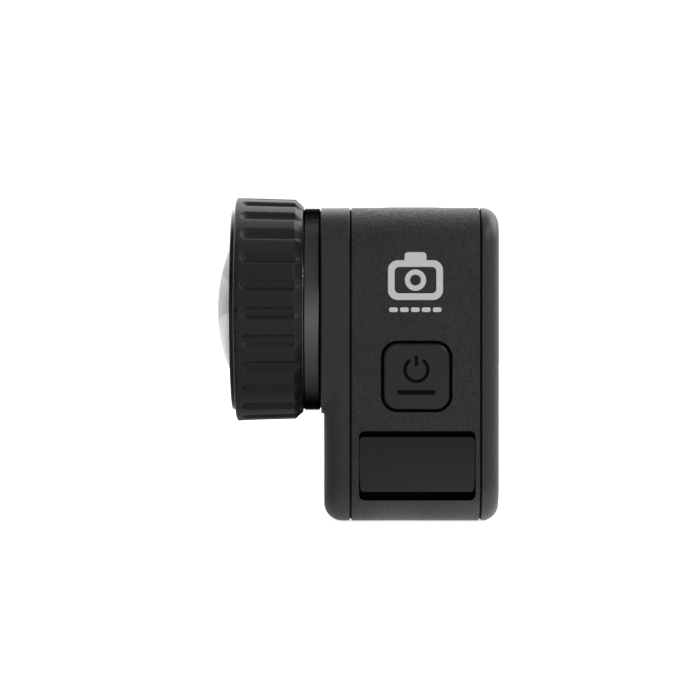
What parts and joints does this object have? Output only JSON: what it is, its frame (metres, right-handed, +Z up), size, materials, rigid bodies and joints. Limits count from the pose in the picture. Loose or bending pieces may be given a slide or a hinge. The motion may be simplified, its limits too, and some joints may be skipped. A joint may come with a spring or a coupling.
{
  "type": "action camera",
  "caption": "Compact boxy action camera with a fluted twist-on wide lens module, side and top buttons, side battery door and folding mounting fingers.",
  "frame": {"origin": "middle of the flat base face that the camera stands on", "axes": "+X towards the side with the mode button, -Y forward through the lens, +Z up"},
  "size_m": [0.0725, 0.0497, 0.0573],
  "materials": {
    "moulded": "fine grained dark grey moulding",
    "satin": "smooth satin dark grey",
    "rubber": "matte black rubber",
    "gloss": "polished black",
    "lens_glass": "coated lens glass",
    "steel": "brushed",
    "aluminium": "plain sheet",
    "circuit_board": "solder mask green",
    "chip": "dark moulded",
    "battery_case": "grey sleeve",
    "ribbon": "woven ribbon",
    "screen": "dark display",
    "status_light": "tinted light pipe"
  },
  "bodies": {
    "camera_body": {"front_shell": "moulded", "mid_housing": "moulded", "rear_shell": "moulded", "speaker_plate": "moulded", "battery_bay": "moulded", "finger_base": "moulded", "camera_lens_barrel": "moulded", "bayonet_ring": "satin", "front_seal": "rubber", "rear_seal": "rubber", "front_window": "gloss", "rear_touch_glass": "gloss", "camera_front_element": "lens_glass", "camera_inner_element": "lens_glass", "door_hinge_pin": "steel", "finger_pin_left": "steel", "finger_pin_right": "steel", "board_screw_1": "steel", "board_screw_2": "steel", "board_screw_3": "steel", "board_screw_4": "steel", "usb_port": "steel", "heat_spreader": "aluminium", "main_board": "circuit_board", "sensor_board": "circuit_board", "processor": "chip", "memory_card": "chip", "mode_switch": "chip", "shutter_switch": "chip", "speaker_unit": "chip", "speaker_mesh": "chip", "front_microphone_mesh": "chip", "battery": "battery_case", "battery_pull_tab": "ribbon", "front_display": "screen", "rear_display": "screen", "image_sensor": "screen", "front_status_light": "status_light", "rear_status_light": "status_light"},
    "lens_module": {"mod_grip_ring": "rubber", "mod_barrel": "satin", "mod_bezel_ring": "gloss", "mod_dome": "lens_glass", "mod_dome_seal": "rubber", "mod_lens_cell": "moulded", "mod_front_element": "lens_glass", "mod_rear_element": "lens_glass", "mod_element_ring": "satin", "mod_bayonet": "steel"},
    "mode_button": {"mode_button": "moulded"},
    "shutter_button": {"shutter_button": "moulded"},
    "battery_door": {"battery_door": "moulded", "door_seal": "rubber"},
    "door_latch": {"door_latch": "satin"},
    "finger_left": {"finger_left": "satin"},
    "finger_right": {"finger_right": "satin"}
  },
  "joints": [
    {"name": "mod_twist", "type": "hinge", "parent": "camera_body", "child": "lens_module", "pos_m": [0.017, -0.02, 0.0373], "axis": [0, -1, 0], "range_deg": [0, 90]},
    {"name": "mode_press", "type": "slide", "parent": "camera_body", "child": "mode_button", "axis": [-1, 0, 0], "range_m": [0, 0.0005], "stiffness_N_per_m": 3000, "springref_m": -0.0001},
    {"name": "shutter_press", "type": "slide", "parent": "camera_body", "child": "shutter_button", "axis": [0, 0, -1], "range_m": [0, 0.0005], "stiffness_N_per_m": 3000, "springref_m": -0.0001},
    {"name": "door_swing", "type": "hinge", "parent": "camera_body", "child": "battery_door", "pos_m": [-0.0345, 0.0007, 0.047], "axis": [0, 1, 0], "range_deg": [0, 95]},
    {"name": "latch_slide", "type": "slide", "parent": "battery_door", "child": "door_latch", "axis": [0, 0, 1], "range_m": [0, 0.002]},
    {"name": "finger_left_fold", "type": "hinge", "parent": "camera_body", "child": "finger_left", "pos_m": [-0.00305, 0, 0.0018], "axis": [0, -1, 0], "range_deg": [0, 90]},
    {"name": "finger_right_fold", "type": "hinge", "parent": "camera_body", "child": "finger_right", "pos_m": [0.00305, 0, 0.0018], "axis": [0, 1, 0], "range_deg": [0, 90]}
  ]
}
